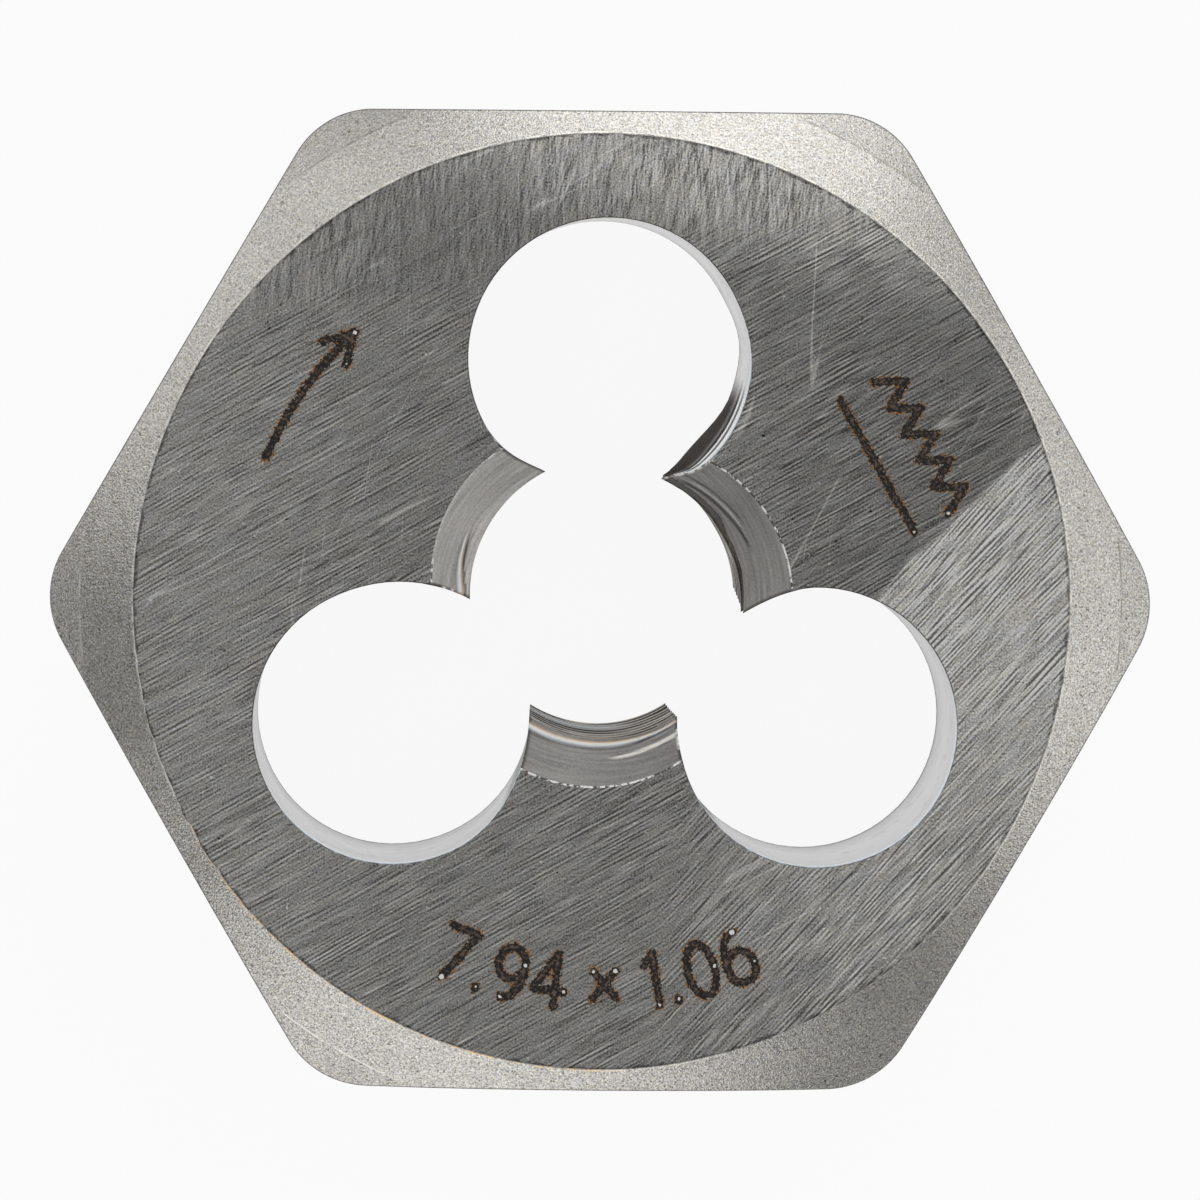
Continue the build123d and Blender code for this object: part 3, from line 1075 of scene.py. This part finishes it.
def cut(name):
    """The lands: cones with rings about the axis and painted light, lighter crests and grooves
    darkened with depth as painted shade.
    """
    m = Nodes(name)
    x, y, z = m.parts(m.place)
    from_axis = m.math("SQRT", x * x + y * y)
    turn = m.math("ARCTAN2", y, x)
    rings = m.noise(1.0, 1.0, at=m.combine(15.0 * from_axis, 2.5 * turn, 3.0 * z))
    lines = m.noise(1.0, 2.0, 0.6, at=m.combine(11.0 * from_axis, 1.6 * turn, 1.3 * z))
    grain = m.noise(16.0, 1.0)
    cone, rim, bright, warm = [m.attribute(part) for part in ("cone", "rim", "bright", "warm")]

    # the cones' lightness is painted light, and the thread darkens with depth in the grooves as
    # painted shade
    on_cone = m.mix(m.attribute("painted_level"), 0.36, 0.75)
    on_cone *= 1.0 + rings.swing(0.7) + grain.swing(0.5)
    on_thread = m.mix(m.attribute("groove").ramp(0.05, 0.5), 0.20, 0.11)
    on_thread *= m.highest(1.0 + lines.swing(4.5) + grain.swing(0.8), 0.15)
    level = m.mix(cone, on_thread, on_cone)

    # the painted highlight lines are brown on their inner side and bluish on their outer side
    fringe = m.tint(warm.ramp(0.5, 0.0), (0.98, 0.95, 0.88), (0.50, 0.60, 0.74))
    fringe = m.tint(warm.ramp(0.52, 0.9), fringe, (0.62, 0.42, 0.26))
    broken = m.noise(6.0, shift=(3, 8, 1)).ramp(0.3, 0.5, 0.75, 1.0)
    dashes = m.noise(6.5, 3.0, 0.6, shift=(1, 4, 7)).ramp(0.44, 0.56)
    colour = m.grey(level, (1.0, 0.975, 0.935))
    # over the steel: the thread's warmer tone, painted shade lines, painted highlight lines, a
    # painted dashed highlight along the top edge and painted shade along the bottom edge
    layers = (
        (1.0 - cone, m.grey(level, (1.08, 0.97, 0.83))),
        (m.attribute("rake"), (0.06, 0.053, 0.046)),
        (bright * broken, fringe),
        (rim, m.tint(dashes, (0.13, 0.12, 0.11), (1.0, 0.99, 0.97))),
        (z.ramp(0.9, 0.1), (0.05, 0.045, 0.04)),
    )
    for factor, cover in layers:
        colour = m.tint(factor, colour, cover)

    # painted highlights are not metallic, so that their colour shows
    highlight_mask = m.highest(0.95 * bright, rim * dashes)
    normal = m.bump(rings, 0.01, 0.35)
    return m.surface(colour, m.mix(cone, 0.42, 0.6), normal, 1.0 - highlight_mask)


def add_object(name, data):
    """A new object in the scene."""
    thing = bpy.data.objects.new(name, data)
    bpy.context.scene.collection.objects.link(thing)
    return thing


body = add_object("die_body", die_mesh("die_body"))
# in the order of the material slots
for material in (ground_face("face_ground", True), blasted("cone_blasted", 0.585),
                 bored("hole_wall"), cut("land_cut"), blasted("flat_blasted", 0.55),
                 ground_face("back_ground", False)):
    body.data.materials.append(material)
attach(body, "root")
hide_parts("hex_die")


# The floor, the light and the camera. Lengths here are metres.

FLOOR_HALF = 1.5
FLOOR_GAP = 0.00002
FLOOR_GLOW = 0.92
AIM = (0, 0, 0.005)
WORLD_GREY = 0.21

# Name, direction round the die, angle above the floor, power, width and height, distance
SOFTBOXES = (
    ("box_back", 75, 31, 0.60, (0.37, 0.36), 0.42),
    ("box_top", 200, 84, 0.35, (0.60, 0.60), 0.70),
    ("box_right", 0, 30, 0.41, (0.44, 0.36), 0.42),
    ("box_front", 255, 30, 0.46, (0.47, 0.36), 0.42),
    ("box_left", 142, 31, 0.335, (0.43, 0.36), 0.42),
)

# Where the photo was taken from, and the camera's turn in radians
CAMERA_PLACE = (-0.0053027, 0.0104863, 0.255497)
CAMERA_TURN = (-0.042563, -0.020950, 0.009903)
CAMERA_LENS = 285.73


def floor_white():
    """White where the camera or a reflection sees it, but for a small share that keeps the
    shadow, and pale and matt to everything else."""
    material = bpy.data.materials.new("floor_white")
    material.use_nodes = True
    tree = material.node_tree
    shader = tree.nodes["Principled BSDF"]
    shader.inputs["Base Color"].default_value = (0.9, 0.9, 0.9, 1)
    shader.inputs["Roughness"].default_value = 0.9
    shader.inputs["Specular IOR Level"].default_value = 0.1
    glow = tree.nodes.new("ShaderNodeEmission")
    glow.inputs["Strength"].default_value = 1.0
    path = tree.nodes.new("ShaderNodeLightPath")
    seen = path.outputs["Is Camera Ray"]
    for other in ("Is Glossy Ray", "Is Transmission Ray"):
        either = tree.nodes.new("ShaderNodeMath")
        either.use_clamp = True
        tree.links.new(seen, either.inputs[0])
        tree.links.new(path.outputs[other], either.inputs[1])
        seen = either.outputs[0]
    share = tree.nodes.new("ShaderNodeMath")
    share.operation = "MULTIPLY"
    share.inputs[1].default_value = FLOOR_GLOW
    mix = tree.nodes.new("ShaderNodeMixShader")
    links = (
        (seen, share.inputs[0]),
        (share.outputs[0], mix.inputs[0]),
        (shader.outputs[0], mix.inputs[1]),
        (glow.outputs[0], mix.inputs[2]),
        (mix.outputs[0], tree.nodes["Material Output"].inputs["Surface"]),
    )
    for output, socket in links:
        tree.links.new(output, socket)
    return material


def floor():
    """A wide floor just under the die."""
    mesh = bpy.data.meshes.new("floor")
    s = FLOOR_HALF
    mesh.from_pydata([(-s, -s, 0), (s, -s, 0), (s, s, 0), (-s, s, 0)], [], [(0, 1, 2, 3)])
    mesh.materials.append(floor_white())
    plane = add_object("floor", mesh)
    plane.location.z = -FLOOR_GAP
    return plane


def softbox(name, azimuth, elevation, power, size, distance):
    """A soft lamp that looks at the die."""
    light = bpy.data.lights.new(name, "AREA")
    light.shape = "RECTANGLE"
    light.size, light.size_y = size
    light.energy = power
    lamp = add_object(name, light)
    x, y = polar(distance * cos(radians(elevation)), azimuth)
    lamp.location = (x, y, distance * sin(radians(elevation)))
    lamp.rotation_euler = (Vector(AIM) - lamp.location).to_track_quat("-Z", "Y").to_euler()


floor()
for settings in SOFTBOXES:
    softbox(*settings)

world = bpy.data.worlds.new("studio")
bpy.context.scene.world = world
world.use_nodes = True
background = world.node_tree.nodes["Background"]
background.inputs["Color"].default_value = (WORLD_GREY, WORLD_GREY, WORLD_GREY, 1)

camera = bpy.data.cameras.new("camera")
camera.sensor_width = 36
camera.lens = CAMERA_LENS
camera.clip_start = 0.01
viewer = add_object("camera", camera)
viewer.location = CAMERA_PLACE
viewer.rotation_euler = Euler(CAMERA_TURN, "XYZ")
bpy.context.scene.camera = viewer
bpy.context.scene.view_settings.view_transform = "Standard"
